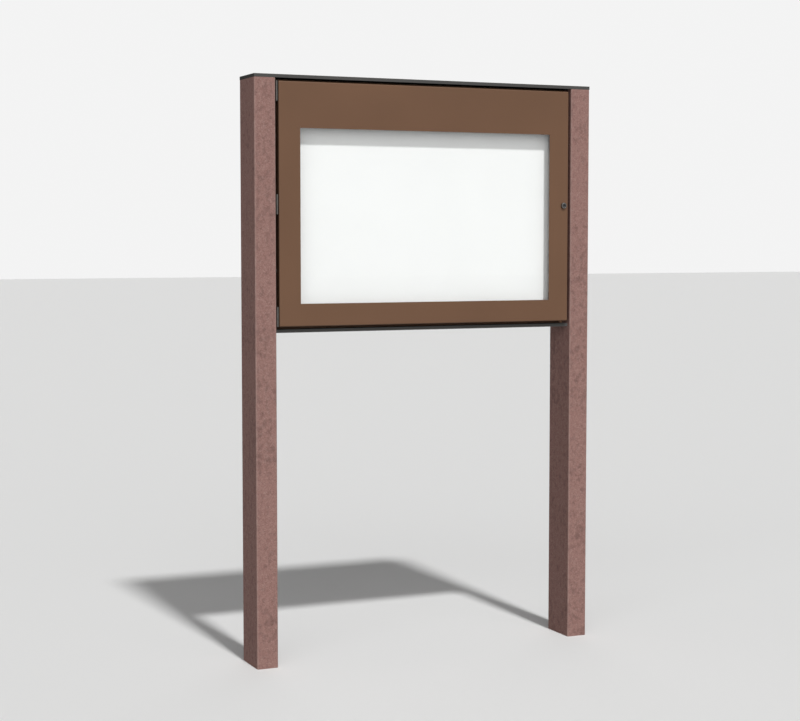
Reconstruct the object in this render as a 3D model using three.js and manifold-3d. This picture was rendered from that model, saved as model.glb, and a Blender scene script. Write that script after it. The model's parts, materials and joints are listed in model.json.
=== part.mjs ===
// Lockable notice board: two stone posts, a plate over them and a plate between them,
// and a shallow steel case whose glazed door swings on three hinges and locks with a cam.
// Millimetres, +Z up. The origin is on the ground, midway between the posts, and the door faces -Y.

import * as THREE from 'three';
import { mergeVertices } from 'three/addons/utils/BufferGeometryUtils.js';
import Module from 'manifold-3d';

const wasm = await Module();
wasm.setup();

// Overall size
const overallHeight = 2150;
const overallWidth = 1368;

// Posts
const postWidth = 80;
const postDepth = 160;
const postChamfer = 3;

// Plates over and between the posts
const topPlateThickness = 12;
const bottomPlateThickness = 12;
const bottomPlateRecess = 18;
const bottomPlateDepth = 124;

// Outline that the door and the case share, and the dark gap all round it
const shadowGap = 11;
const caseHeight = 881;

// Clearances: between pieces that rest on each other, between turning pieces and in mitres
const seat = 0.3;
const running = 0.3;
const mitreGap = 0.2;
const overrun = 2;

// Door
const doorDepth = 18;
const skinThickness = 2;
const stileWidth = 83;
const topRailHeight = 166;
const bottomRailHeight = 82;

// Glazing, which lies on the back of the door's skin
const glassThickness = 4;
const glassOverlap = 15;
const gasketThickness = 2;
const gasketInset = 2;
const gasketReach = 12;
const beadThickness = 2;
const beadWidth = 9;

// Case profile, measured inward from the case's outer face and back from its front lip
const sealGap = 2;
const sealInset = 1;
const sealWidth = 8;
const caseDepth = 42;
const caseWall = 2;
const frontLip = 12;
const panelLedge = 24;
const rearLip = 16;

// Panel behind the glass and the sheet that closes the back
const panelSetback = 44;
const panelThickness = 3;
const panelEdgeClearance = 1;
const rearCoverThickness = 1.5;

// Hinges
const hingeLength = 70;
const hingeEndMargin = 1;
const knuckleRadius = 3.5;
const knuckleCount = 3;
const hingePinRadius = 2;
const hingePinHeadRadius = 2.8;
const hingePinHeadHeight = 1;
const leafThickness = 1.5;
const movingLeafEnd = 17;
const crankSetback = 2;
const fixedLeafReach = 25;

// Lock
const lockInset = 21.3;
const lockAboveMiddle = 4;
const lockHeadRadius = 11;
const lockHeadHeight = 9;
const lockHeadChamfer = 1.5;
const lockBarrelRadius = 8;
const lockBarrelEnd = 20.5;
const lockNutAcrossFlats = 24;
const lockNutThickness = 3.5;
const plugRadius = 5.5;
const plugHeadRadius = 7;
const plugHeadThickness = 1.5;
const keySlotWidth = 1.6;
const keySlotHeight = 7;
const keySlotDepth = 4;
const camThickness = 2;
const camWidth = 12;
const camReach = 18.5;
const camLipClearance = 0.4;
const driveSquare = 7;
const camScrewRadius = 2;
const camScrewLength = 9;
const camScrewHeadRadius = 4.5;
const camScrewHeadHeight = 3;
const camScrewSocket = 4;

// Countersunk screws through the top plate into the posts
const plateScrewRadius = 5;
const plateScrewHeadRadius = 10;
const plateScrewHeadHeight = 5;
const plateScrewLength = 80;
const plateScrewSpacing = 80;
const plateScrewSocket = 6;
const plateScrewSocketDepth = 3;

// Dowels from the bottom plate into the posts
const dowelRadius = 4;
const dowelInPlate = 40;
const dowelInPost = 40;
const dowelSpacing = 80;

// Bolts from the case into the posts, and the spacers on them
const caseBoltRadius = 4;
const caseBoltHeadAcrossFlats = 13;
const caseBoltHeadHeight = 5.5;
const caseBoltInPost = 60;
const caseBoltInset = 200;
const caseBoltSetback = 14;
const caseBoltClearance = 0.5;
const spacerRadius = 10;
const blindHoleClearance = 2;

// Screws of the rear cover and of the panel
const rearScrewRadius = 2.5;
const rearScrewLength = 8;
const rearScrewHeadRadius = 4.5;
const rearScrewHeadHeight = 2.5;
const rearScrewRise = 9;
const rearScrewInset = 120;
const rearScrewSocket = 3;
const panelScrewRadius = 2;
const panelScrewLength = 8;
const panelScrewHeadRadius = 4;
const panelScrewHeadHeight = 2.2;
const panelScrewRise = 18.5;
const panelScrewInset = 200;
const panelScrewSocket = 2.5;
const panelScrewSocketDepth = 1.2;
const panelScrewSink = 0.1;

// Fineness of round surfaces, in sides of a full turn
const roundSides = 16;
const lockSides = 32;
const hexagonSides = 6;

// Places that follow from the sizes
const halfTurn = Math.PI;
const quarterTurn = Math.PI / 2;
const fullTurn = 2 * Math.PI;
const caseWidth = overallWidth - 2 * (postWidth + shadowGap);
const caseTop = overallHeight - topPlateThickness - shadowGap;
const caseBottom = caseTop - caseHeight;
const bottomPlateTop = caseBottom - shadowGap;
const postHeight = overallHeight - topPlateThickness - seat;
const postCentre = (overallWidth - postWidth) / 2;
const postsFront = -postDepth / 2;
const lipFront = doorDepth + sealGap;
const caseBack = lipFront + caseDepth;
const ledgeFront = panelSetback + panelThickness + seat;
const caseBoltDepth = lipFront + caseBoltSetback;
const caseBoltHole = caseBoltRadius + caseBoltClearance;
const lockRise = caseHeight / 2 + lockAboveMiddle;

// Solids and the geometry that shows them

function toSolid(geometry) {
  const bare = geometry.clone();
  bare.deleteAttribute('normal');
  bare.deleteAttribute('uv');
  const merged = mergeVertices(bare);
  const vertProperties = new Float32Array(merged.attributes.position.array);
  const triVerts = new Uint32Array(merged.index.array);
  return new wasm.Manifold(new wasm.Mesh({ numProp: 3, vertProperties, triVerts }));
}

function toGeometry(solid) {
  const mesh = solid.getMesh();
  const geometry = new THREE.BufferGeometry();
  geometry.setAttribute('position', new THREE.BufferAttribute(mesh.vertProperties, 3));
  geometry.setIndex(new THREE.BufferAttribute(mesh.triVerts, 1));
  geometry.computeVertexNormals();
  return geometry;
}

function cut(base, tools) {
  const cutSolid = tools.reduce((solid, tool) => solid.subtract(toSolid(tool)), toSolid(base));
  return toGeometry(cutSolid);
}

function join(pieces) {
  const [first, ...others] = pieces.map(toSolid);
  return toGeometry(others.reduce((solid, other) => solid.add(other), first));
}

function keepInside(base, limit) {
  return toGeometry(toSolid(base).intersect(toSolid(limit)));
}

// Basic shapes

const alongX = new THREE.Vector3(1, 0, 0);
const alongY = new THREE.Vector3(0, 1, 0);
const alongZ = new THREE.Vector3(0, 0, 1);
const againstY = new THREE.Vector3(0, -1, 0);

function block([x0, y0, z0], [x1, y1, z1]) {
  const geometry = new THREE.BoxGeometry(x1 - x0, y1 - y0, z1 - z0);
  return geometry.translate((x0 + x1) / 2, (y0 + y1) / 2, (z0 + z1) / 2);
}

// A shape turned about the Y axis is laid along X or Z
function turnFromY(geometry, axis) {
  if (axis === 'x') geometry.rotateZ(-quarterTurn);
  if (axis === 'z') geometry.rotateX(quarterTurn);
  return geometry;
}

function rod(axis, radius, start, end, sides = roundSides) {
  const geometry = new THREE.CylinderGeometry(radius, radius, Math.abs(end - start), sides);
  geometry.translate(0, (start + end) / 2, 0);
  return turnFromY(geometry, axis);
}

// A profile of [radius, place along the axis] turned full circle
function turned(axis, profile, sides = roundSides) {
  const points = profile.map(([radius, place]) => new THREE.Vector2(radius, place));
  return turnFromY(new THREE.LatheGeometry(points, sides), axis);
}

// An outline of [y, z], [x, z] or [x, y] points drawn out along X, Y or Z
function prism(axis, outline, start, end, hole = null) {
  const toPoints = (places) => places.map(([a, b]) => new THREE.Vector2(a, b));
  const shape = new THREE.Shape(toPoints(outline));
  if (hole) shape.holes.push(new THREE.Path(toPoints(hole)));
  const geometry = new THREE.ExtrudeGeometry(shape, { depth: end - start, bevelEnabled: false });
  geometry.translate(0, 0, axis === 'y' ? -end : start);
  const directions = {
    x: [alongY, alongZ, alongX],
    y: [alongX, alongZ, againstY],
    z: [alongX, alongY, alongZ],
  };
  return geometry.applyMatrix4(new THREE.Matrix4().makeBasis(...directions[axis]));
}

function rectangle(x0, y0, x1, y1) {
  return [[x0, y0], [x1, y0], [x1, y1], [x0, y1]];
}

function hexagon(acrossFlats) {
  const corner = acrossFlats / 2 / Math.cos(Math.PI / hexagonSides);
  return Array.from({ length: hexagonSides }, (_, side) => {
    const angle = (fullTurn * side) / hexagonSides;
    return [corner * Math.cos(angle), corner * Math.sin(angle)];
  });
}

function arc(centreX, centreY, radius, startAngle, endAngle) {
  const steps = roundSides / 2;
  return Array.from({ length: steps + 1 }, (_, step) => {
    const angle = startAngle + ((endAngle - startAngle) * step) / steps;
    return [centreX + radius * Math.cos(angle), centreY + radius * Math.sin(angle)];
  });
}

// Finishes

function stone() {
  return new THREE.MeshStandardMaterial({ color: 0x92716a, roughness: 0.85, metalness: 0 });
}

function brownPaint() {
  return new THREE.MeshStandardMaterial({ color: 0x765a48, roughness: 0.5, metalness: 0.1 });
}

function greyPlate() {
  return new THREE.MeshStandardMaterial({ color: 0x575756, roughness: 0.5, metalness: 0.4 });
}

function whitePaint() {
  return new THREE.MeshStandardMaterial({ color: 0xf2f2f0, roughness: 0.5, metalness: 0 });
}

function clearGlass() {
  return new THREE.MeshStandardMaterial({
    color: 0xf4faf8,
    roughness: 0.05,
    metalness: 0,
    transparent: true,
    opacity: 0.25,
  });
}

function blackRubber() {
  return new THREE.MeshStandardMaterial({ color: 0x1b1b1b, roughness: 0.9, metalness: 0 });
}

function steel() {
  return new THREE.MeshStandardMaterial({ color: 0x8c8f90, roughness: 0.4, metalness: 0.9 });
}

function lockMetal() {
  return new THREE.MeshStandardMaterial({ color: 0x9a9c9e, roughness: 0.25, metalness: 1 });
}

function addPiece(parent, name, geometry, material, position = [0, 0, 0], turnY = 0) {
  const mesh = new THREE.Mesh(geometry, material);
  mesh.name = name;
  mesh.position.set(...position);
  mesh.rotation.y = turnY;
  parent.add(mesh);
  return mesh;
}

// A line of places along a length, as far from one end as from the other
function fromBothEnds(inset, length) {
  return [inset, length - inset];
}

// A countersunk screw along the axis, with the flat of its head at zero and a hexagon socket
function countersunkScrew(axis, radius, length, headRadius, headHeight, socketSize, socketDepth) {
  const screw = turned(axis, [
    [0, -length],
    [radius, -length],
    [radius, -headHeight],
    [headRadius, 0],
    [0, 0],
  ]);
  return cut(screw, [prism(axis, hexagon(socketSize), -socketDepth, overrun)]);
}

// The hole that a countersunk screw seats in, open past the head
function countersunkHole(axis, radius, length, headRadius, headHeight) {
  return turned(axis, [
    [0, -length],
    [radius + running, -length],
    [radius + running, -headHeight - running],
    [headRadius + running, -running],
    [headRadius + running, overrun],
    [0, overrun],
  ]);
}

// Posts, plates and what ties them together

function plateScrewHoleAt(y, top) {
  const length = plateScrewLength + blindHoleClearance;
  const hole = countersunkHole('z', plateScrewRadius, length, plateScrewHeadRadius, plateScrewHeadHeight);
  return hole.translate(0, y, top);
}

function plateScrewGeometry() {
  const head = [plateScrewHeadRadius, plateScrewHeadHeight];
  const socket = [plateScrewSocket, plateScrewSocketDepth];
  return countersunkScrew('z', plateScrewRadius, plateScrewLength, ...head, ...socket);
}

// The inward side is +1 for the post whose inner face looks along +X
function postGeometry(inwardSide) {
  const x = postWidth / 2;
  const y = postDepth / 2;
  const c = postChamfer;
  const outline = [
    [-x + c, -y], [x - c, -y], [x, -y + c], [x, y - c],
    [x - c, y], [-x + c, y], [-x, y - c], [-x, -y + c],
  ];
  const innerFace = inwardSide * x;
  const mouth = inwardSide * overrun;
  const plateTop = postHeight + seat + topPlateThickness;
  const screwHoles = [-1, 1].map((end) => plateScrewHoleAt(end * plateScrewSpacing / 2, plateTop));
  const boltEnd = innerFace - inwardSide * (caseBoltInPost + blindHoleClearance);
  const boltHoles = fromBothEnds(caseBoltInset, caseHeight).map((rise) => {
    const hole = rod('x', caseBoltHole, boltEnd, innerFace + mouth);
    return hole.translate(0, postsFront + caseBoltDepth, caseBottom + rise);
  });
  const dowelEnd = innerFace - inwardSide * (dowelInPost + running);
  const dowelHoles = [-1, 1].map((end) => {
    const hole = rod('x', dowelRadius + running, dowelEnd, innerFace + mouth);
    return hole.translate(0, bottomPlateCentre() + end * dowelSpacing / 2, dowelHeight());
  });
  return cut(prism('z', outline, 0, postHeight), [...screwHoles, ...boltHoles, ...dowelHoles]);
}

function bottomPlateCentre() {
  return postsFront + bottomPlateRecess + bottomPlateDepth / 2;
}

function dowelHeight() {
  return bottomPlateTop - bottomPlateThickness / 2;
}

function topPlateGeometry() {
  const plate = block(
    [-overallWidth / 2, postsFront, -topPlateThickness],
    [overallWidth / 2, -postsFront, 0],
  );
  const holes = [-1, 1].flatMap((side) => [-1, 1].map((end) => {
    return plateScrewHoleAt(end * plateScrewSpacing / 2, 0).translate(side * postCentre, 0, 0);
  }));
  return cut(plate, holes);
}

function bottomPlateGeometry() {
  const end = overallWidth / 2 - postWidth - seat;
  const plate = block(
    [-end, -bottomPlateDepth / 2, -bottomPlateThickness / 2],
    [end, bottomPlateDepth / 2, bottomPlateThickness / 2],
  );
  const holes = [-1, 1].flatMap((side) => [-1, 1].map((place) => {
    const inner = side * (end - dowelInPlate - running);
    const hole = rod('x', dowelRadius + running, inner, side * (end + overrun));
    return hole.translate(0, place * dowelSpacing / 2, 0);
  }));
  return cut(plate, holes);
}

function addStand(parent) {
  addPiece(parent, 'post_left', postGeometry(1), stone(), [-postCentre, 0, 0]);
  addPiece(parent, 'post_right', postGeometry(-1), stone(), [postCentre, 0, 0]);
  addPiece(parent, 'top_plate', topPlateGeometry(), greyPlate(), [0, 0, overallHeight]);
  const plateCentre = [0, bottomPlateCentre(), dowelHeight()];
  addPiece(parent, 'bottom_plate', bottomPlateGeometry(), greyPlate(), plateCentre);
  let count = 0;
  for (const side of [-1, 1]) {
    for (const end of [-1, 1]) {
      count += 1;
      const screwPlace = [side * postCentre, end * plateScrewSpacing / 2, overallHeight];
      addPiece(parent, `top_plate_screw_${count}`, plateScrewGeometry(), steel(), screwPlace);
      const innerFace = side * (overallWidth / 2 - postWidth);
      const dowel = rod('x', dowelRadius, -side * dowelInPlate, side * dowelInPost);
      const dowelY = bottomPlateCentre() + end * dowelSpacing / 2;
      addPiece(parent, `bottom_plate_dowel_${count}`, dowel, steel(), [innerFace, dowelY, dowelHeight()]);
    }
  }
}

// Case. Its frame, and the door's, starts at the outline's lower left front corner:
// X runs along the outline, Y back from the door's face and Z up.

// One side of the case lies along X with its outer face down, and is cut to 45 degrees at both ends
function caseProfile(length, holes) {
  const section = [
    [lipFront, 0],
    [caseBack, 0],
    [caseBack, rearLip],
    [caseBack - caseWall, rearLip],
    [caseBack - caseWall, caseWall],
    [ledgeFront + caseWall, caseWall],
    [ledgeFront + caseWall, panelLedge],
    [ledgeFront, panelLedge],
    [ledgeFront, caseWall],
    [lipFront + caseWall, caseWall],
    [lipFront + caseWall, frontLip],
    [lipFront, frontLip],
  ];
  const bar = prism('x', section, 0, length);
  const top = panelLedge + overrun;
  const mitres = [
    [mitreGap - overrun, -overrun],
    [length - mitreGap + overrun, -overrun],
    [length - mitreGap - top, top],
    [mitreGap + top, top],
  ];
  const limit = prism('y', mitres, lipFront - overrun, caseBack + overrun);
  return cut(keepInside(bar, limit), holes);
}

function rearScrewPlaces() {
  return [rearScrewInset, caseWidth / 2, caseWidth - rearScrewInset];
}

function levelProfile() {
  const panelHoles = fromBothEnds(panelScrewInset, caseWidth).map((x) => {
    const hole = rod('y', panelScrewRadius + running, ledgeFront - overrun, ledgeFront + caseWall + overrun);
    return hole.translate(x, 0, panelScrewRise);
  });
  const rearHoles = rearScrewPlaces().map((x) => {
    const hole = rod('y', rearScrewRadius + running, caseBack - caseWall - overrun, caseBack + overrun);
    return hole.translate(x, 0, rearScrewRise);
  });
  return caseProfile(caseWidth, [...panelHoles, ...rearHoles]);
}

function uprightProfile() {
  const boltHoles = fromBothEnds(caseBoltInset, caseHeight).map((x) => {
    return rod('z', caseBoltHole, -overrun, caseWall + overrun).translate(x, caseBoltDepth, 0);
  });
  return caseProfile(caseHeight, boltHoles);
}

function displayPanelGeometry() {
  const inset = frontLip + panelEdgeClearance;
  const panel = block(
    [inset, panelSetback, inset],
    [caseWidth - inset, panelSetback + panelThickness, caseHeight - inset],
  );
  const holes = panelScrewPlaces().map(([x, z]) => {
    const head = [panelScrewHeadRadius, panelScrewHeadHeight];
    const hole = countersunkHole('y', panelScrewRadius, panelScrewLength, ...head);
    return hole.rotateX(halfTurn).translate(x, panelSetback, z);
  });
  return cut(panel, holes);
}

function panelScrewPlaces() {
  return fromBothEnds(panelScrewRise, caseHeight).flatMap((z) => {
    return fromBothEnds(panelScrewInset, caseWidth).map((x) => [x, z]);
  });
}

function rearCoverScrewPlaces() {
  return fromBothEnds(rearScrewRise, caseHeight).flatMap((z) => rearScrewPlaces().map((x) => [x, z]));
}

// The rear cover also closes the gap round the case, as far as the posts and plates
function rearCoverGeometry() {
  const front = caseBack + seat;
  const back = front + rearCoverThickness;
  const reach = shadowGap - seat;
  const cover = block([-reach, front, -reach], [caseWidth + reach, back, caseHeight + reach]);
  const holes = rearCoverScrewPlaces().map(([x, z]) => {
    return rod('y', rearScrewRadius + running, front - overrun, back + overrun).translate(x, 0, z);
  });
  return cut(cover, holes);
}

// A low domed screw with its head's underside at zero, its shank along -Y and a hexagon socket
function domedScrew(radius, length, headRadius, headHeight, socketSize) {
  const screw = turned('y', [
    [0, -length],
    [radius, -length],
    [radius, 0],
    [headRadius, 0],
    [headRadius, headHeight / 2],
    [(headRadius + radius) / 2, headHeight],
    [0, headHeight],
  ]);
  const socket = prism('y', hexagon(socketSize), headHeight / 2, headHeight + overrun);
  return cut(screw, [socket]);
}

function rearScrewGeometry() {
  const head = [rearScrewHeadRadius, rearScrewHeadHeight];
  return domedScrew(rearScrewRadius, rearScrewLength, ...head, rearScrewSocket);
}

// The panel's screws go in from the front and lie flush, so that a notice can cover them
function panelScrewGeometry() {
  const head = [panelScrewHeadRadius, panelScrewHeadHeight];
  const socket = [panelScrewSocket, panelScrewSocketDepth];
  const screw = countersunkScrew('y', panelScrewRadius, panelScrewLength, ...head, ...socket);
  return screw.rotateX(halfTurn);
}

// A case bolt lies along X with its head inside the case, and its shank through the spacer into the post
function caseBoltGeometry() {
  const headFoot = caseWall + seat;
  const head = prism('x', hexagon(caseBoltHeadAcrossFlats), headFoot, headFoot + caseBoltHeadHeight);
  const shank = rod('x', caseBoltRadius, -shadowGap - caseBoltInPost, headFoot + caseBoltHeadHeight / 2);
  return join([head, shank]);
}

function spacerGeometry() {
  const ring = rod('x', spacerRadius, -shadowGap + seat, -seat);
  return cut(ring, [rod('x', caseBoltHole, -shadowGap - overrun, overrun)]);
}

function sealGeometry() {
  const inner = sealInset + sealWidth;
  return prism(
    'y',
    rectangle(sealInset, sealInset, caseWidth - sealInset, caseHeight - sealInset),
    doorDepth + seat,
    lipFront - seat,
    rectangle(inner, inner, caseWidth - inner, caseHeight - inner),
  );
}

function addCase(parent) {
  addPiece(parent, 'case_bottom_profile', levelProfile(), brownPaint());
  addPiece(parent, 'case_top_profile', levelProfile(), brownPaint(), [caseWidth, 0, caseHeight], halfTurn);
  addPiece(parent, 'case_left_profile', uprightProfile(), brownPaint(), [0, 0, caseHeight], quarterTurn);
  addPiece(parent, 'case_right_profile', uprightProfile(), brownPaint(), [caseWidth, 0, 0], -quarterTurn);
  addPiece(parent, 'display_panel', displayPanelGeometry(), whitePaint());
  addPiece(parent, 'rear_cover', rearCoverGeometry(), brownPaint());
  addPiece(parent, 'door_seal', sealGeometry(), blackRubber());
  rearCoverScrewPlaces().forEach(([x, z], index) => {
    const place = [x, caseBack + rearCoverThickness + 2 * seat, z];
    addPiece(parent, `rear_cover_screw_${index + 1}`, rearScrewGeometry(), steel(), place);
  });
  panelScrewPlaces().forEach(([x, z], index) => {
    const place = [x, panelSetback + panelScrewSink, z];
    addPiece(parent, `panel_screw_${index + 1}`, panelScrewGeometry(), steel(), place);
  });
  let count = 0;
  for (const [x, turn] of [[0, 0], [caseWidth, halfTurn]]) {
    for (const z of fromBothEnds(caseBoltInset, caseHeight)) {
      count += 1;
      addPiece(parent, `case_bolt_${count}`, caseBoltGeometry(), steel(), [x, caseBoltDepth, z], turn);
      addPiece(parent, `case_spacer_${count}`, spacerGeometry(), steel(), [x, caseBoltDepth, z], turn);
    }
  }
}

// Hinges. Each stands in its own frame, with Z up its pin from the lower end.

const hingeSegment = hingeLength / knuckleCount;
const movingKnuckle = [hingeSegment + running, 2 * hingeSegment - running];
const sideFace = shadowGap / 2 - seat;
const pinBore = hingePinRadius + running;

function fixedLeafGeometry() {
  const crank = lipFront + crankSetback - knuckleRadius;
  const end = lipFront + fixedLeafReach - knuckleRadius;
  const outline = [
    [-knuckleRadius, 0],
    [-knuckleRadius + leafThickness, 0],
    [-knuckleRadius + leafThickness, crank],
    [sideFace, crank],
    [sideFace, end],
    [sideFace - leafThickness, end],
    [sideFace - leafThickness, crank + leafThickness],
    [-knuckleRadius, crank + leafThickness],
  ];
  const leaf = join([prism('z', outline, 0, hingeLength), rod('z', knuckleRadius, 0, hingeLength)]);
  return cut(leaf, [
    rod('z', knuckleRadius + running, hingeSegment, 2 * hingeSegment),
    rod('z', pinBore, -overrun, hingeLength + overrun),
  ]);
}

function movingLeafGeometry() {
  const [low, high] = movingKnuckle;
  const webFront = knuckleRadius - leafThickness;
  const inner = sideFace - leafThickness;
  const end = movingLeafEnd - knuckleRadius;
  const leaf = join([
    prism('z', rectangle(inner, webFront, sideFace, end), 0, hingeLength),
    block([0, webFront, low], [sideFace, knuckleRadius, high]),
    rod('z', knuckleRadius, low, high),
  ]);
  return cut(leaf, [
    rod('z', knuckleRadius + running, -overrun, low),
    rod('z', knuckleRadius + running, high, hingeLength + overrun),
    rod('z', pinBore, -overrun, hingeLength + overrun),
  ]);
}

function hingePinGeometry() {
  const foot = -seat;
  const top = hingeLength + seat;
  return turned('z', [
    [0, foot - hingePinHeadHeight],
    [hingePinHeadRadius, foot - hingePinHeadHeight],
    [hingePinHeadRadius, foot],
    [hingePinRadius, foot],
    [hingePinRadius, top],
    [hingePinHeadRadius, top],
    [hingePinHeadRadius, top + hingePinHeadHeight],
    [0, top + hingePinHeadHeight],
  ]);
}

function hingePlaces() {
  const highest = caseHeight - hingeEndMargin - hingeLength;
  return { top: highest, middle: (caseHeight - hingeLength) / 2, bottom: hingeEndMargin };
}

function addHinges(caseGroup, doorGroup) {
  for (const [place, rise] of Object.entries(hingePlaces())) {
    const pivot = [-shadowGap / 2, knuckleRadius, rise];
    addPiece(caseGroup, `hinge_${place}_fixed_leaf`, fixedLeafGeometry(), steel(), pivot);
    addPiece(caseGroup, `hinge_${place}_pin`, hingePinGeometry(), steel(), pivot);
    addPiece(doorGroup, `hinge_${place}_moving_leaf`, movingLeafGeometry(), steel(), pivot);
  }
}

// Door

const lockCentre = [caseWidth - lockInset, 0, lockRise];

const windowEdges = [stileWidth, bottomRailHeight, caseWidth - stileWidth, caseHeight - topRailHeight];

function aroundWindow(margin) {
  const [left, low, right, high] = windowEdges;
  return rectangle(left - margin, low - margin, right + margin, high + margin);
}

function doorSkinGeometry() {
  const [left, low, right, high] = windowEdges;
  const wall = skinThickness;
  return cut(block([0, 0, 0], [caseWidth, doorDepth, caseHeight]), [
    block([wall, wall, wall], [caseWidth - wall, doorDepth + overrun, caseHeight - wall]),
    block([left, -overrun, low], [right, wall + overrun, high]),
    rod('y', lockBarrelRadius + running, -overrun, wall + overrun, lockSides).translate(...lockCentre),
  ]);
}

const gasketBack = skinThickness + seat + gasketThickness;
const glassFront = gasketBack + seat;
const glassBack = glassFront + glassThickness;

function gasketGeometry() {
  const front = skinThickness + seat;
  return prism('y', aroundWindow(gasketReach), front, gasketBack, aroundWindow(gasketInset));
}

function glassGeometry() {
  return prism('y', aroundWindow(glassOverlap), glassFront, glassBack);
}

// A bead lies along X, with its web on the skin beside the glass and its flange behind the glass
function beadGeometry(length) {
  const front = skinThickness + seat;
  const back = glassBack + seat + beadThickness;
  const section = [
    [front, 0],
    [back, 0],
    [back, beadWidth],
    [back - beadThickness, beadWidth],
    [back - beadThickness, beadThickness],
    [front, beadThickness],
  ];
  return prism('x', section, 0, length);
}

function addBeads(parent) {
  const margin = glassOverlap + seat + beadThickness;
  const [[left, low], , [right, high]] = aroundWindow(margin);
  const end = beadWidth + seat;
  const level = beadGeometry(right - left);
  const upright = beadGeometry(high - low - 2 * end);
  addPiece(parent, 'glazing_bead_bottom', level, brownPaint(), [left, 0, low]);
  addPiece(parent, 'glazing_bead_top', level.clone(), brownPaint(), [right, 0, high], halfTurn);
  addPiece(parent, 'glazing_bead_left', upright, brownPaint(), [left, 0, high - end], quarterTurn);
  addPiece(parent, 'glazing_bead_right', upright.clone(), brownPaint(), [right, 0, low + end], -quarterTurn);
}

function addDoor(parent) {
  addPiece(parent, 'door_skin', doorSkinGeometry(), brownPaint());
  addPiece(parent, 'glazing_gasket', gasketGeometry(), blackRubber());
  addPiece(parent, 'window_pane', glassGeometry(), clearGlass());
  addBeads(parent);
}

// Lock, in a frame with its axis along Y and zero at the door's face

const camFront = lipFront + caseWall + camLipClearance;
const camBack = camFront + camThickness;
const lockFront = -lockHeadHeight;
const plugSeat = lockFront + seat + plugHeadThickness;

function lockBodyGeometry() {
  const bore = plugRadius + running;
  const counterbore = plugHeadRadius + running;
  const counterboreFloor = plugSeat + running;
  return turned('y', [
    [counterbore, lockFront],
    [lockHeadRadius - lockHeadChamfer, lockFront],
    [lockHeadRadius, lockFront + lockHeadChamfer],
    [lockHeadRadius, -seat],
    [lockBarrelRadius, -seat],
    [lockBarrelRadius, lockBarrelEnd],
    [bore, lockBarrelEnd],
    [bore, counterboreFloor],
    [counterbore, counterboreFloor],
    [counterbore, lockFront],
  ], lockSides);
}

function lockNutGeometry() {
  const front = skinThickness + seat;
  const back = front + lockNutThickness;
  const nut = prism('y', hexagon(lockNutAcrossFlats), front, back);
  return cut(nut, [rod('y', lockBarrelRadius + running, front - overrun, back + overrun, lockSides)]);
}

function lockPlugGeometry() {
  const front = lockFront + seat;
  const shoulder = camFront - seat;
  const square = driveSquare / 2;
  const slotX = keySlotWidth / 2;
  const slotZ = keySlotHeight / 2;
  const barrel = turned('y', [
    [0, front],
    [plugHeadRadius, front],
    [plugHeadRadius, plugSeat],
    [plugRadius, plugSeat],
    [plugRadius, shoulder],
    [0, shoulder],
  ], lockSides);
  const drive = block([-square, shoulder - overrun, -square], [square, camBack - seat, square]);
  const slot = block([-slotX, front - overrun, -slotZ], [slotX, front + keySlotDepth, slotZ]);
  const screwHole = rod('y', camScrewRadius + running, camBack - camScrewLength - seat, camBack + overrun);
  return cut(join([barrel, drive]), [slot, screwHole]);
}

// The cam hangs straight down when unlocked, and a quarter turn puts it behind the right lip
function lockCamGeometry() {
  const half = camWidth / 2;
  const hole = driveSquare / 2 + running;
  const outline = [
    ...arc(0, 0, half, 0, halfTurn),
    ...arc(0, half - camReach, half, halfTurn, fullTurn),
  ];
  const cam = prism('y', outline, camFront, camBack);
  return cut(cam, [block([-hole, camFront - overrun, -hole], [hole, camBack + overrun, hole])]);
}

function camScrewGeometry() {
  const head = [camScrewHeadRadius, camScrewHeadHeight];
  return domedScrew(camScrewRadius, camScrewLength, ...head, camScrewSocket);
}

function addLock(parent) {
  addPiece(parent, 'lock_body', lockBodyGeometry(), lockMetal(), lockCentre);
  addPiece(parent, 'lock_nut', lockNutGeometry(), steel(), lockCentre);
  addPiece(parent, 'lock_plug', lockPlugGeometry(), lockMetal(), lockCentre);
  addPiece(parent, 'lock_cam', lockCamGeometry(), steel(), lockCentre);
  const [x, , z] = lockCentre;
  addPiece(parent, 'lock_cam_screw', camScrewGeometry(), steel(), [x, camBack + seat, z]);
}

// The whole board

const noticeBoard = new THREE.Group();
addStand(noticeBoard);

const outlineCorner = new THREE.Group();
outlineCorner.position.set(-caseWidth / 2, postsFront, caseBottom);
noticeBoard.add(outlineCorner);

const caseGroup = new THREE.Group();
outlineCorner.add(caseGroup);
addCase(caseGroup);

const doorGroup = new THREE.Group();
outlineCorner.add(doorGroup);
addDoor(doorGroup);
addLock(doorGroup);
addHinges(caseGroup, doorGroup);

export default noticeBoard;
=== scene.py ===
"""The looks of a lockable notice board on two stone posts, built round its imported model. Metres, +Z up."""

import json
import math

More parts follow.
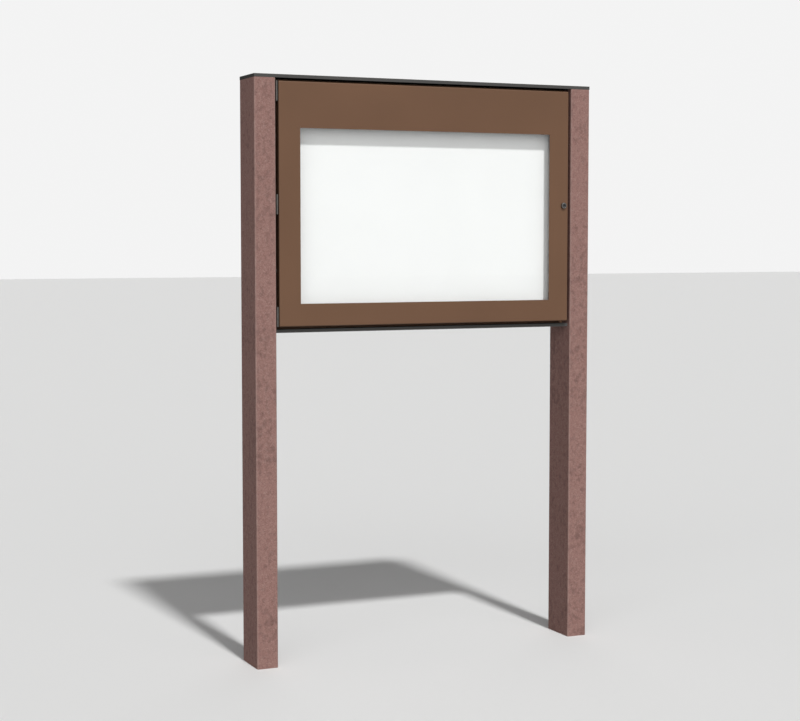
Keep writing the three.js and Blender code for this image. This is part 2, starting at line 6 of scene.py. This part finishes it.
import bmesh
import bpy
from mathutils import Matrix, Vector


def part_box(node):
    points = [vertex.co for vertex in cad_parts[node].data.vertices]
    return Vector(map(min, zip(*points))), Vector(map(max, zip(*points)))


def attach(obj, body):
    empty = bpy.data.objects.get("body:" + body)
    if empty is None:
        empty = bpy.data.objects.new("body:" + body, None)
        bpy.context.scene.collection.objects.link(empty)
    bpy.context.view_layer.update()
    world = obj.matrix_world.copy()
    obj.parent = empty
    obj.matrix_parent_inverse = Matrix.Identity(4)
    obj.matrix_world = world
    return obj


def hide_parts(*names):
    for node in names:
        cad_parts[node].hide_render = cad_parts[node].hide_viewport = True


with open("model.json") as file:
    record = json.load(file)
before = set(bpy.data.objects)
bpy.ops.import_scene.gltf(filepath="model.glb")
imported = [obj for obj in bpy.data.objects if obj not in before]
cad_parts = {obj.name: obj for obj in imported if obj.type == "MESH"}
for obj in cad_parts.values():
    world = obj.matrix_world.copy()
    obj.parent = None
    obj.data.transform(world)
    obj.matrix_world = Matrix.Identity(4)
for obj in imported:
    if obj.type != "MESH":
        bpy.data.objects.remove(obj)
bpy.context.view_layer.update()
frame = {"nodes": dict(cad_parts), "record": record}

MM = 0.001
X, Y, Z = 0, 1, 2

# Camera, worked out from the straight edges of the photograph, with its angles in degrees
CAMERA_PLACE = (-2.7056, -5.9254, 1.5660)
CAMERA_YAW = 23.880
CAMERA_PITCH = 4.071
CAMERA_LENS = 77.47
CAMERA_SENSOR = 36.0
CAMERA_REACH = 200.0

# Lamps far off, as strength, spread, elevation and turn in degrees: a small one straight ahead of
# the board, two very broad ones ahead and to the left, and one behind and to the right. A lamp
# that is broad isn't mirrored.
SUN = {"strength": 2.24, "spread": 4.3, "elevation": 52.7, "turn": 0.9}
BROAD_LAMPS = {
    "fill": {"strength": 0.46, "spread": 70.0, "elevation": 15.0, "turn": 0.0},
    "side": {"strength": 1.22, "spread": 70.0, "elevation": 15.0, "turn": -30.0},
    "back": {"strength": 0.54, "spread": 50.0, "elevation": 160.0, "turn": -30.0},
}

# The even sky and the floor: as they light the board, as they are seen, and as they show in a
# mirror or through glass
SKY_LIGHT = 0.07
SKY_SEEN = 0.90
SKY_MIRRORED = 0.79
FLOOR_LIGHT = (0.42, 0.42, 0.42)
FLOOR_SEEN = (0.83, 0.83, 0.825)
FLOOR_MIRRORED = (0.95, 0.95, 0.95)
FLOOR_ROUGHNESS = 0.9
FLOOR_GLOSS = 0.1
FLOOR_REACH = 60.0
FLOOR_SQUARES = 8

# Rounding of edges, by how a piece is made
STONE_EDGE = 0.9 * MM
PLATE_EDGE = 0.8 * MM
SHEET_EDGE = 0.5 * MM
FOLD_EDGE = 4.2 * MM
SMALL_EDGE = 0.25 * MM
EDGE_STEPS = 3
EDGE_PROFILE = 0.5
SHARP_ANGLE = math.radians(25)
SMOOTH_ANGLE = math.radians(35)

# Sides that the CAD gives a full turn, how finely each side is split, and how far from an axis
# its round surfaces reach
ROUND_SIDES = 16
LOCK_SIDES = 32
SIDE_CUTS = 3
SCREW_REACH = 15 * MM
PIN_REACH = 5 * MM

# How close points, radii, angles and faces have to be to count as the same
SAME_POINT = 0.002 * MM
SAME_RADIUS = 0.01 * MM
SAME_TURN = 0.01
SAME_FACE = 0.5 * MM
FLAT_ANGLE = math.radians(0.5)

# Colours, as linear values
STONE_DARK = (0.170, 0.087, 0.074)
STONE_DEEP = (0.233, 0.125, 0.107)
STONE_MAIN = (0.284, 0.157, 0.136)
STONE_LIGHT = (0.338, 0.200, 0.175)
# The palest stone is also the colour of the painted highlight on the arrises
STONE_PALE = (0.412, 0.288, 0.257)
BROWN = (0.149, 0.0775, 0.0430)
PLATE_GREY = (0.088, 0.086, 0.083)
PANEL_WHITE = (0.95, 0.95, 0.945)
GLASS_TINT = (0.994, 1.0, 0.997)
RUBBER_BLACK = (0.018, 0.018, 0.019)
STEEL_GREY = (0.36, 0.35, 0.34)
# Hinges: lighter metal for the painted highlight on the knuckle fronts, and dark steel that is partly a
# blackened finish and partly painted shade
HINGE_HIGHLIGHT_METAL = (0.165, 0.155, 0.143)
HINGE_DARK = (0.022, 0.020, 0.019)
BLACKENED = (0.012, 0.012, 0.012)
LOCK_GREY = (0.180, 0.174, 0.166)
PLUG_GREY = (0.060, 0.060, 0.062)
BLACK = (0.0, 0.0, 0.0)
WHITE = (1.0, 1.0, 1.0)

# Patterns: scales are repeats per metre, tones are factors on a colour, and noise is read within
# a range round its middle
NOISE_WIDE = (0.3, 0.7)
NOISE_NARROW = (0.35, 0.65)
NOISE_SMEARED = (0.35, 0.75)
STONE_STOPS = [
    (0.00, STONE_DARK),
    (0.16, STONE_DEEP),
    (0.50, STONE_MAIN),
    (0.84, STONE_LIGHT),
    (1.00, STONE_PALE),
]
STONE_GLOSS = 0.25
STONE_COARSE = 180.0
STONE_FINE = 520.0
STONE_FINE_SHARE = 0.66
STONE_MAIN_SHARE = 0.26
BLOTCH_SCALES = (60.0, 60.0, 44.0)
BLOTCH_TONES = (0.74, 1.25)
DRIFT_SCALE = 7.0
DRIFT_TONES = (0.88, 1.12)
# Painted highlight on the posts: paler stone near the upright arrises, broken up in patches
ARRIS_REACH = 8 * MM
ARRIS_FALL = 2.0
ARRIS_HIGHLIGHT_PATCH_SCALE = 70.0
ARRIS_HIGHLIGHT_STRENGTHS = (0.30, 0.95)
STONE_PITS = 420.0
STONE_GRIT = 620.0
STONE_GRIT_SHARE = 0.35
STONE_RELIEF = 0.35 * MM
STONE_BUMP = 0.6
STONE_SHEEN_SCALE = 300.0
STONE_ROUGHNESS = (0.74, 0.92)
GRAIN_WAVER = 2.2
GRAIN_SHIFT = 1.1

PAINT_DRIFT_SCALE = 3.5
PAINT_SPECK = 1500.0
PAINT_PEEL = 520.0
PAINT_FINE_PEEL = 1300.0
PAINT_FINE_SHARE = 0.4
PAINT_RELIEF = 0.11 * MM
PAINT_BUMP = 0.6
PAINT_SHEEN_SCALE = 40.0
PAINT_SHEEN = (-0.04, 0.05)
# Painted shade on paint: faces whose normal points down (along Z) or left (along X) are darkest at the first
# value and not darkened from the second
PAINTED_SHADE_FROM = -0.9
PAINTED_SHADE_TO = -0.3

LINES_ALONG_Z = (2600.0, 2600.0, 60.0)
LINES_ROUND = (1800.0, 300.0, 1800.0)
LINE_RELIEF = 0.03 * MM
LINE_BUMP = 0.4
LINE_SHEEN = (-0.06, 0.08)
STEEL_TONES = (0.82, 1.12)
HINGE_TONES = (0.85, 1.1)
HINGE_ROUGHNESS = (0.42, 0.56)
# Hinges: patches that fray the painted highlight's edge, and how deep the highlight reaches behind the
# knuckle fronts
HINGE_PATCHES = 140.0
HINGE_PATCH_DEPTHS = (-0.5 * MM, 0.5 * MM)
HINGE_HIGHLIGHT_DEPTH = 1.3 * MM

RUBBER_ROUGHNESS = 0.75
RUBBER_DUST = 180.0
RUBBER_DUST_TONE = 1.9
RUBBER_PORES = 900.0
RUBBER_RELIEF = 0.05 * MM
RUBBER_BUMP = 0.4
GLASS_BENDING = 1.45
GLASS_SMEARS = 9.0
GLASS_ROUGHNESS = (0.0, 0.035)


# Materials

def plug(tree, socket, value):
    """Feeds a socket from another node's output, or sets it to a value."""
    if isinstance(value, bpy.types.NodeSocket):
        tree.links.new(value, socket)
    else:
        socket.default_value = value


def toned(colour, tone):
    """A colour times a tone, kept within 1."""
    return [min(1.0, part * tone) for part in colour]


class Look:
    """A material with its main shader, and short calls for the nodes that feed it."""

    def __init__(self, name, roughness=0.5, metallic=0.0):
        self.material = bpy.data.materials.new(name)
        self.material.use_nodes = True
        self.tree = self.material.node_tree
        self.shader = self.tree.nodes["Principled BSDF"]
        self.feed(self.shader, Roughness=roughness, Metallic=metallic)
        origin = self.add("ShaderNodeTexCoord").outputs
        self.place = origin["Object"]
        self.facing = origin["Normal"]

    def add(self, kind, **settings):
        node = self.tree.nodes.new(kind)
        for name, value in settings.items():
            setattr(node, name, value)
        return node

    def feed(self, node, **inputs):
        """Sets a node's inputs by name, each from a value or from another node's output."""
        for name, value in inputs.items():
            plug(self.tree, node.inputs[name.replace("_", " ")], value)
        return node

    def part(self, vector, axis):
        """One of a vector's three parts."""
        node = self.feed(self.add("ShaderNodeSeparateXYZ"), Vector=vector)
        return node.outputs[axis]

    def stretched(self, scales):
        node = self.add("ShaderNodeMapping")
        return self.feed(node, Vector=self.place, Scale=scales).outputs["Vector"]

    def noise(self, scale, detail=3.0, roughness=0.5, place=None):
        node = self.add("ShaderNodeTexNoise")
        self.feed(node, Vector=place or self.place, Scale=scale, Detail=detail, Roughness=roughness)
        return node.outputs["Fac"]

    def wavered(self, scale, reach):
        """Places shifted a little, each its own way, so that what is drawn there gets ragged edges."""
        shift = self.feed(self.add("ShaderNodeTexNoise"), Vector=self.place, Scale=scale, Detail=2.0)
        node = self.add("ShaderNodeVectorMath", operation="MULTIPLY_ADD")
        for socket, value in zip(node.inputs, (shift.outputs["Color"], (reach,) * 3, self.place)):
            plug(self.tree, socket, value)
        return node.outputs["Vector"]

    def grains(self, scale):
        """A random value in each small, ragged grain."""
        place = self.wavered(GRAIN_WAVER * scale, GRAIN_SHIFT / scale)
        node = self.feed(self.add("ShaderNodeTexVoronoi"), Vector=place, Scale=scale)
        split = self.add("ShaderNodeSeparateColor")
        return self.feed(split, Color=node.outputs["Color"]).outputs["Red"]

    def ramp(self, factor, stops):
        node = self.add("ShaderNodeValToRGB")
        self.feed(node, Fac=factor)
        points = node.color_ramp.elements
        while len(points) < len(stops):
            points.new(1.0)
        for point, (place, colour) in zip(points, stops):
            point.position = place
            point.color = (*colour, 1.0)
        return node.outputs["Color"]

    def span(self, value, low, high, to_low, to_high):
        node = self.add("ShaderNodeMapRange")
        self.feed(node, Value=value, From_Min=low, From_Max=high, To_Min=to_low, To_Max=to_high)
        return node.outputs["Result"]

    def varied(self, noise, ends, within=NOISE_WIDE):
        """Noise, which keeps near its middle, spread from one end to the other."""
        return self.span(noise, *within, *ends)

    def mix(self, factor, first, second, how="MIX"):
        node = self.add("ShaderNodeMix", data_type="RGBA", blend_type=how)
        plug(self.tree, node.inputs[0], factor)
        for socket, colour in ((node.inputs[6], first), (node.inputs[7], second)):
            known = isinstance(colour, bpy.types.NodeSocket)
            plug(self.tree, socket, colour if known else (*colour, 1.0))
        return node.outputs[2]

    def shaded(self, colour, tone):
        """A colour darkened by a tone, in which 1 and all above leaves it as it is."""
        return self.mix(1.0, colour, self.ramp(tone, [(0.0, BLACK), (1.0, WHITE)]), "MULTIPLY")

    def math(self, how, first, second):
        node = self.add("ShaderNodeMath", operation=how)
        for socket, value in zip(node.inputs, (first, second)):
            plug(self.tree, socket, value)
        return node.outputs[0]

    def bump(self, height, distance, strength):
        node = self.add("ShaderNodeBump")
        self.feed(node, Height=height, Distance=distance, Strength=strength)
        self.feed(self.shader, Normal=node.outputs["Normal"])

    def surface(self, **inputs):
        self.feed(self.shader, **inputs)
        return self.material


def near_arris(look, low, high):
    """1 on the upright edges of a box, falling to 0 away from them."""
    depths = []
    for axis in (X, Y):
        middle = (low[axis] + high[axis]) / 2
        half = (high[axis] - low[axis]) / 2
        away = look.math("ABSOLUTE", look.math("SUBTRACT", look.part(look.place, axis), middle), 0.0)
        depths.append(look.math("SUBTRACT", half, away))
    near = look.span(look.math("MAXIMUM", *depths), 0.0, ARRIS_REACH, 1.0, 0.0)
    return look.math("POWER", near, ARRIS_FALL)


def stone_look(name, node):
    """Fine-grained reddish stone: grains of two sizes and soft mottling, with a painted highlight that makes
    the arrises paler in ragged patches.
    """
    look = Look(name)
    look.feed(look.shader, Specular_IOR_Level=STONE_GLOSS)
    coarse = look.ramp(look.grains(STONE_COARSE), STONE_STOPS)
    fine = look.ramp(look.grains(STONE_FINE), STONE_STOPS)
    grained = look.mix(STONE_MAIN_SHARE, look.mix(STONE_FINE_SHARE, coarse, fine), STONE_MAIN)
    blotches = look.noise(1.0, roughness=0.55, place=look.stretched(BLOTCH_SCALES))
    mottled = look.varied(blotches, BLOTCH_TONES)
    drift = look.varied(look.noise(DRIFT_SCALE, detail=2.0), DRIFT_TONES)
    mottled_stone = look.shaded(grained, look.math("MULTIPLY", mottled, drift))
    # Painted highlight: paler stone along the arrises, broken up in patches
    patches = look.noise(ARRIS_HIGHLIGHT_PATCH_SCALE, detail=4.0, roughness=0.6)
    highlight_patches = look.varied(patches, ARRIS_HIGHLIGHT_STRENGTHS, NOISE_NARROW)
    arris = look.math("MULTIPLY", near_arris(look, *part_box(node)), highlight_patches)
    stone_with_highlight = look.mix(arris, mottled_stone, STONE_PALE)
    grit = look.math("MULTIPLY", look.grains(STONE_GRIT), STONE_GRIT_SHARE)
    pits = look.noise(STONE_PITS, detail=4.0, roughness=0.65)
    look.bump(look.math("ADD", pits, grit), STONE_RELIEF, STONE_BUMP)
    return look.surface(
        Base_Color=stone_with_highlight, Roughness=look.varied(look.noise(STONE_SHEEN_SCALE), STONE_ROUGHNESS),
    )


def paint_look(name, colour, roughness, texture=1.0, gloss=0.3, drift=0.05, shade_facing_down=1.0, shade_facing_left=1.0):
    """Powder coat: an even colour with a faint drift and a fine orange-peel surface. Painted shade:
    faces that look down, or to the left into the gap beside the hinges, are darkened by the last
    two factors."""
    look = Look(name)
    look.feed(look.shader, Specular_IOR_Level=gloss)
    stops = [(0.3, toned(colour, 1 - drift)), (0.7, toned(colour, 1 + drift))]
    shade = look.ramp(look.noise(PAINT_DRIFT_SCALE, detail=2.0), stops)
    speck_and_painted_shade = look.varied(look.noise(PAINT_SPECK, detail=2.0), (1 - drift, 1.0), NOISE_NARROW)
    # Painted shade: faces that look down or to the left are darkened, each by its own factor
    for axis, tone in ((Z, shade_facing_down), (X, shade_facing_left)):
        if tone < 1.0:
            painted_shade = look.span(look.part(look.facing, axis), PAINTED_SHADE_FROM, PAINTED_SHADE_TO, tone, 1.0)
            speck_and_painted_shade = look.math("MULTIPLY", speck_and_painted_shade, painted_shade)
    fine_peel = look.math("MULTIPLY", look.noise(PAINT_FINE_PEEL, detail=1.0), PAINT_FINE_SHARE)
    peel = look.math("ADD", look.noise(PAINT_PEEL, detail=2.0), fine_peel)
    look.bump(peel, PAINT_RELIEF * texture, PAINT_BUMP)
    ends = [roughness + change for change in PAINT_SHEEN]
    spread = look.varied(look.noise(PAINT_SHEEN_SCALE), ends)
    return look.surface(Base_Color=look.shaded(shade, speck_and_painted_shade), Roughness=spread)


def brushed(look, colour, tones, scales):
    """Fine lines in bare steel: the lines themselves and the colour that they give."""
    lines = look.noise(1.0, detail=4.0, roughness=0.7, place=look.stretched(scales))
    low, high = tones
    look.bump(lines, LINE_RELIEF, LINE_BUMP)
    return lines, look.ramp(lines, [(0.25, toned(colour, low)), (0.75, toned(colour, high))])


def brushed_look(name, colour, roughness, scales):
    """Bare steel with fine lines, whose scale along each axis is small along the lines."""
    look = Look(name, metallic=1.0)
    lines, shade = brushed(look, colour, STEEL_TONES, scales)
    ends = [roughness + change for change in LINE_SHEEN]
    return look.surface(Base_Color=shade, Roughness=look.varied(lines, ends))


def hinge_look(name, pin):
    """Dark hinge steel, partly a blackened finish and partly painted shade in the gap, with a painted
    highlight: a strip of lighter, metallic steel along the front of the knuckles.
    """
    look = Look(name)
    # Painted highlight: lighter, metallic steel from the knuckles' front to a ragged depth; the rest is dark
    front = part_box(pin)[0][Y]
    patches = look.varied(look.noise(HINGE_PATCHES), HINGE_PATCH_DEPTHS)
    depth = look.math("ADD", look.part(look.place, Y), patches)
    bare = look.span(depth, front, front + HINGE_HIGHLIGHT_DEPTH, 1.0, 0.0)
    lines, metal = brushed(look, HINGE_HIGHLIGHT_METAL, HINGE_TONES, LINES_ALONG_Z)
    colour = look.mix(bare, HINGE_DARK, metal)
    return look.surface(Base_Color=colour, Metallic=bare, Roughness=look.varied(lines, HINGE_ROUGHNESS))


def rubber_look(name):
    look = Look(name, RUBBER_ROUGHNESS)
    dust = look.noise(RUBBER_DUST)
    shade = look.ramp(dust, [(0.35, RUBBER_BLACK), (0.8, toned(RUBBER_BLACK, RUBBER_DUST_TONE))])
    look.bump(look.noise(RUBBER_PORES, detail=2.0), RUBBER_RELIEF, RUBBER_BUMP)
    return look.surface(Base_Color=shade)


def glass_look(name):
    """Clear glass with faint smears, which lets the lamps light what is behind it."""
    look = Look(name)
    tint = (*GLASS_TINT, 1.0)
    smear = look.varied(look.noise(GLASS_SMEARS), GLASS_ROUGHNESS, NOISE_SMEARED)
    look.surface(Base_Color=tint, Transmission_Weight=1.0, IOR=GLASS_BENDING, Roughness=smear)
    clear = look.feed(look.add("ShaderNodeBsdfTransparent"), Color=tint)
    path = look.add("ShaderNodeLightPath").outputs
    lighting = look.math("MAXIMUM", path["Is Shadow Ray"], path["Is Diffuse Ray"])
    both = look.add("ShaderNodeMixShader")
    for socket, value in zip(both.inputs, (lighting, look.shader.outputs[0], clear.outputs[0])):
        plug(look.tree, socket, value)
    look.feed(look.tree.nodes["Material Output"], Surface=both.outputs[0])
    return look.material


LOOKS = {
    # Brown paint with painted shade on faces that look left, into the gap by the hinges
    "brown_paint": paint_look("brown_paint_satin", BROWN, 0.50, shade_facing_left=0.35),
    # Grey plates with painted shade on faces that look down, under the plates
    "grey_plate": paint_look("grey_plate_matt", PLATE_GREY, 0.85, gloss=0.0, shade_facing_down=0.35),
    "white_panel": paint_look("white_panel_satin", PANEL_WHITE, 0.45, texture=0.4, drift=0.012),
    "glass": glass_look("clear_glass"),
    "seal_rubber": rubber_look("black_rubber"),
    "steel": brushed_look("brushed_steel", STEEL_GREY, 0.40, LINES_ALONG_Z),
    "lock_metal": brushed_look("satin_chrome", LOCK_GREY, 0.34, LINES_ROUND),
}
# Hinge steel with a painted highlight on the knuckle fronts and painted shade on the rest
hinge_steel = hinge_look("hinge_steel_painted_highlight", "hinge_middle_fixed_leaf")
black_steel = paint_look("blackened_steel", BLACKENED, 0.60, gloss=0.2)
plug_metal = brushed_look("dark_plug_metal", PLUG_GREY, 0.38, LINES_ROUND)
SLOTS = {part["node"]: part["material_slot"] for part in frame["record"]["subparts"]}
BODIES = {node: body for body, nodes in frame["record"]["behaviour"]["bodies"].items() for node in nodes}


# Meshes

def new_piece(name, mesh):
    piece = bpy.data.objects.new(name, mesh)
    bpy.context.scene.collection.objects.link(piece)
    return piece


def true_rounds(bm, axis, centre, reach, sides):
    """Splits the sides round an axis finer and puts the new points on the true circle."""
    u, v = [direction for direction in (X, Y, Z) if direction != axis]
    step = 2 * math.pi / sides

    def polar(point):
        across, up = point[u] - centre[u], point[v] - centre[v]
        return math.hypot(across, up), math.atan2(up, across)

    def is_side(edge):
        (near, first), (far, second) = (polar(end.co) for end in edge.verts)
        turn = abs(math.remainder(first - second, 2 * math.pi))
        level = abs(near - far) < SAME_RADIUS
        return max(near, far) < reach and level and abs(turn - step) < SAME_TURN

    chords = [edge for edge in bm.edges if is_side(edge)]
    made = bmesh.ops.subdivide_edges(bm, edges=chords, cuts=SIDE_CUTS, use_grid_fill=True)
    for point in made["geom_inner"]:
        if isinstance(point, bmesh.types.BMVert):
            aside = math.remainder(polar(point.co)[1] - step / 2, step)
            stretch = math.cos(aside) / math.cos(step / 2)
            for across in (u, v):
                point.co[across] = centre[across] + (point.co[across] - centre[across]) * stretch


def round_edges(bm, width, chosen):
    """Rounds each sharp edge that is chosen."""
    sharp = [
        edge for edge in bm.edges
        if len(edge.link_faces) == 2 and edge.calc_face_angle() > SHARP_ANGLE and chosen(edge)
    ]
    bmesh.ops.bevel(
        bm, geom=sharp, offset=width, offset_type="OFFSET", segments=EDGE_STEPS,
        profile=EDGE_PROFILE, affect="EDGES", clamp_overlap=True,
    )


def every(edge):
    return True


def refined(node, width, rounds=(), sides=ROUND_SIDES, material=None, chosen=every):
    """A finer copy of a CAD node in its place: true rounds, and soft edges in place of sharp ones."""
    bm = bmesh.new()
    bm.from_mesh(frame["nodes"][node].data)
    bmesh.ops.remove_doubles(bm, verts=bm.verts, dist=SAME_POINT)
    bmesh.ops.dissolve_limit(bm, angle_limit=FLAT_ANGLE, verts=bm.verts, edges=bm.edges)
    bmesh.ops.recalc_face_normals(bm, faces=bm.faces)
    for axis, centre, reach in rounds:
        true_rounds(bm, axis, centre, reach, sides)
    round_edges(bm, width, chosen)
    mesh = bpy.data.meshes.new(node + "_look")
    bm.to_mesh(mesh)
    bm.free()
    mesh.materials.clear()
    mesh.materials.append(material or LOOKS[SLOTS[node]])
    for face in mesh.polygons:
        face.use_smooth = True
        face.material_index = 0
    mesh.set_sharp_from_angle(angle=SMOOTH_ANGLE)
    piece = new_piece(node + "_look", mesh)
    shading = piece.modifiers.new("even_shading", "WEIGHTED_NORMAL")
    shading.keep_sharp = True
    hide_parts(node)
    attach(piece, BODIES[node])


def middle(node):
    low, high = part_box(node)
    return [(a + b) / 2 for a, b in zip(low, high)]


def named(start):
    return [node for node in SLOTS if node.startswith(start)]


# Posts, plates and sheet metal

door_low, door_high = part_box("door_skin")


def is_fold(edge):
    """True on the outer edges of the door's front and on its corners."""
    for end in edge.verts:
        inside = [
            door_low[axis] + SAME_FACE < end.co[axis] < door_high[axis] - SAME_FACE
            for axis in (X, Z)
        ]
        if all(inside):
            return False
    return min(end.co.y for end in edge.verts) < door_low[Y] + SAME_FACE


for post in ("post_left", "post_right"):
    refined(post, STONE_EDGE, material=stone_look(post + "_stone", post))

top_screws = [(Z, middle(node), SCREW_REACH) for node in named("top_plate_screw")]
refined("top_plate", PLATE_EDGE, top_screws)
refined("bottom_plate", PLATE_EDGE)
refined("door_skin", FOLD_EDGE, chosen=is_fold)
for start in ("case_bottom_p", "case_top_p", "case_left_p", "case_right_p", "glazing_bead"):
    for node in named(start):
        refined(node, SHEET_EDGE)
for node in ("display_panel", "window_pane"):
    refined(node, SHEET_EDGE)
rear_screws = [(Y, middle(node), SCREW_REACH) for node in named("rear_cover_screw")]
refined("rear_cover", SHEET_EDGE, rear_screws)
for node in ("door_seal", "glazing_gasket"):
    refined(node, SMALL_EDGE)


# Screws, bolts and hinges, each with its own axis, and the lock

TURNED = {
    "top_plate_screw": Z, "bottom_plate_dowel": X, "rear_cover_screw": Y, "panel_screw": Y,
    "case_bolt": X, "case_spacer": X,
}
for start, axis in TURNED.items():
    for node in named(start):
        finish = black_steel if start == "case_spacer" else None
        refined(node, SMALL_EDGE, [(axis, middle(node), SCREW_REACH)], material=finish)

for place in ("top", "middle", "bottom"):
    hinge_axis = (Z, middle(f"hinge_{place}_pin"), PIN_REACH)
    for node in named(f"hinge_{place}"):
        refined(node, SMALL_EDGE, [hinge_axis], material=hinge_steel)

lock_axis = (Y, middle("lock_plug"), SCREW_REACH)
for node in ("lock_body", "lock_nut"):
    refined(node, SMALL_EDGE, [lock_axis], LOCK_SIDES)
refined("lock_plug", SMALL_EDGE, [lock_axis], LOCK_SIDES, plug_metal)
refined("lock_cam", SMALL_EDGE, [lock_axis], LOCK_SIDES)
refined("lock_cam_screw", SMALL_EDGE, [lock_axis])


# Stage, light and camera

def seen_directly(tree):
    """1 for rays that show a thing to the camera, in a mirror or through glass."""
    path = tree.nodes.new("ShaderNodeLightPath")
    total = path.outputs["Is Camera Ray"]
    for name in ("Is Glossy Ray", "Is Transmission Ray"):
        most = tree.nodes.new("ShaderNodeMath")
        most.operation = "MAXIMUM"
        plug(tree, most.inputs[0], total)
        plug(tree, most.inputs[1], path.outputs[name])
        total = most.outputs[0]
    return total


def make_floor():
    """A pale floor. A mirror shows it as bright as the sky, so that the glass mirrors no horizon.
    What is seen through the glass gets that brightness too."""
    bm = bmesh.new()
    bmesh.ops.create_grid(bm, x_segments=FLOOR_SQUARES, y_segments=FLOOR_SQUARES, size=FLOOR_REACH)
    mesh = bpy.data.meshes.new("floor")
    bm.to_mesh(mesh)
    bm.free()
    floor = new_piece("floor", mesh)
    look = Look("pale_floor", FLOOR_ROUGHNESS)
    mirrored = look.add("ShaderNodeLightPath").outputs["Is Glossy Ray"]
    seen = look.mix(mirrored, FLOOR_SEEN, FLOOR_MIRRORED)
    colour = look.mix(seen_directly(look.tree), FLOOR_LIGHT, seen)
    look.surface(Base_Color=colour, Specular_IOR_Level=FLOOR_GLOSS)
    floor.data.materials.append(look.material)


def grey_between(tree, factor, first, second):
    """A grey from first at factor 0 to second at factor 1, each a value or another node's output."""
    node = tree.nodes.new("ShaderNodeMix")
    for index, value in ((0, factor), (2, first), (3, second)):
        plug(tree, node.inputs[index], value)
    return node.outputs[0]


def make_sky():
    world = bpy.data.worlds.new("even_sky")
    world.use_nodes = True
    tree = world.node_tree
    mirrored = tree.nodes.new("ShaderNodeLightPath").outputs["Is Glossy Ray"]
    seen = grey_between(tree, mirrored, SKY_SEEN, SKY_MIRRORED)
    grey = grey_between(tree, seen_directly(tree), SKY_LIGHT, seen)
    plug(tree, tree.nodes["Background"].inputs["Color"], grey)
    bpy.context.scene.world = world


def make_lamp(name, strength, spread, elevation, turn):
    """A lamp far off. An elevation past 90 degrees puts it behind the board."""
    data = bpy.data.lights.new(name, "SUN")
    data.energy = strength
    data.angle = math.radians(spread)
    lamp = bpy.data.objects.new(name, data)
    lamp.rotation_euler = (math.radians(90 - elevation), 0, math.radians(turn))
    bpy.context.scene.collection.objects.link(lamp)
    return lamp


def make_lights():
    make_lamp("sun", **SUN)
    for name, settings in BROAD_LAMPS.items():
        make_lamp(name, **settings).visible_glossy = False


def make_camera():
    data = bpy.data.cameras.new("camera")
    data.sensor_width = CAMERA_SENSOR
    data.lens = CAMERA_LENS
    data.clip_end = CAMERA_REACH
    camera = bpy.data.objects.new("camera", data)
    camera.location = CAMERA_PLACE
    camera.rotation_euler = (math.radians(90 - CAMERA_PITCH), 0, math.radians(-CAMERA_YAW))
    bpy.context.scene.collection.objects.link(camera)
    bpy.context.scene.camera = camera


make_floor()
make_sky()
make_lights()
make_camera()
bpy.context.scene.view_settings.view_transform = "Standard"
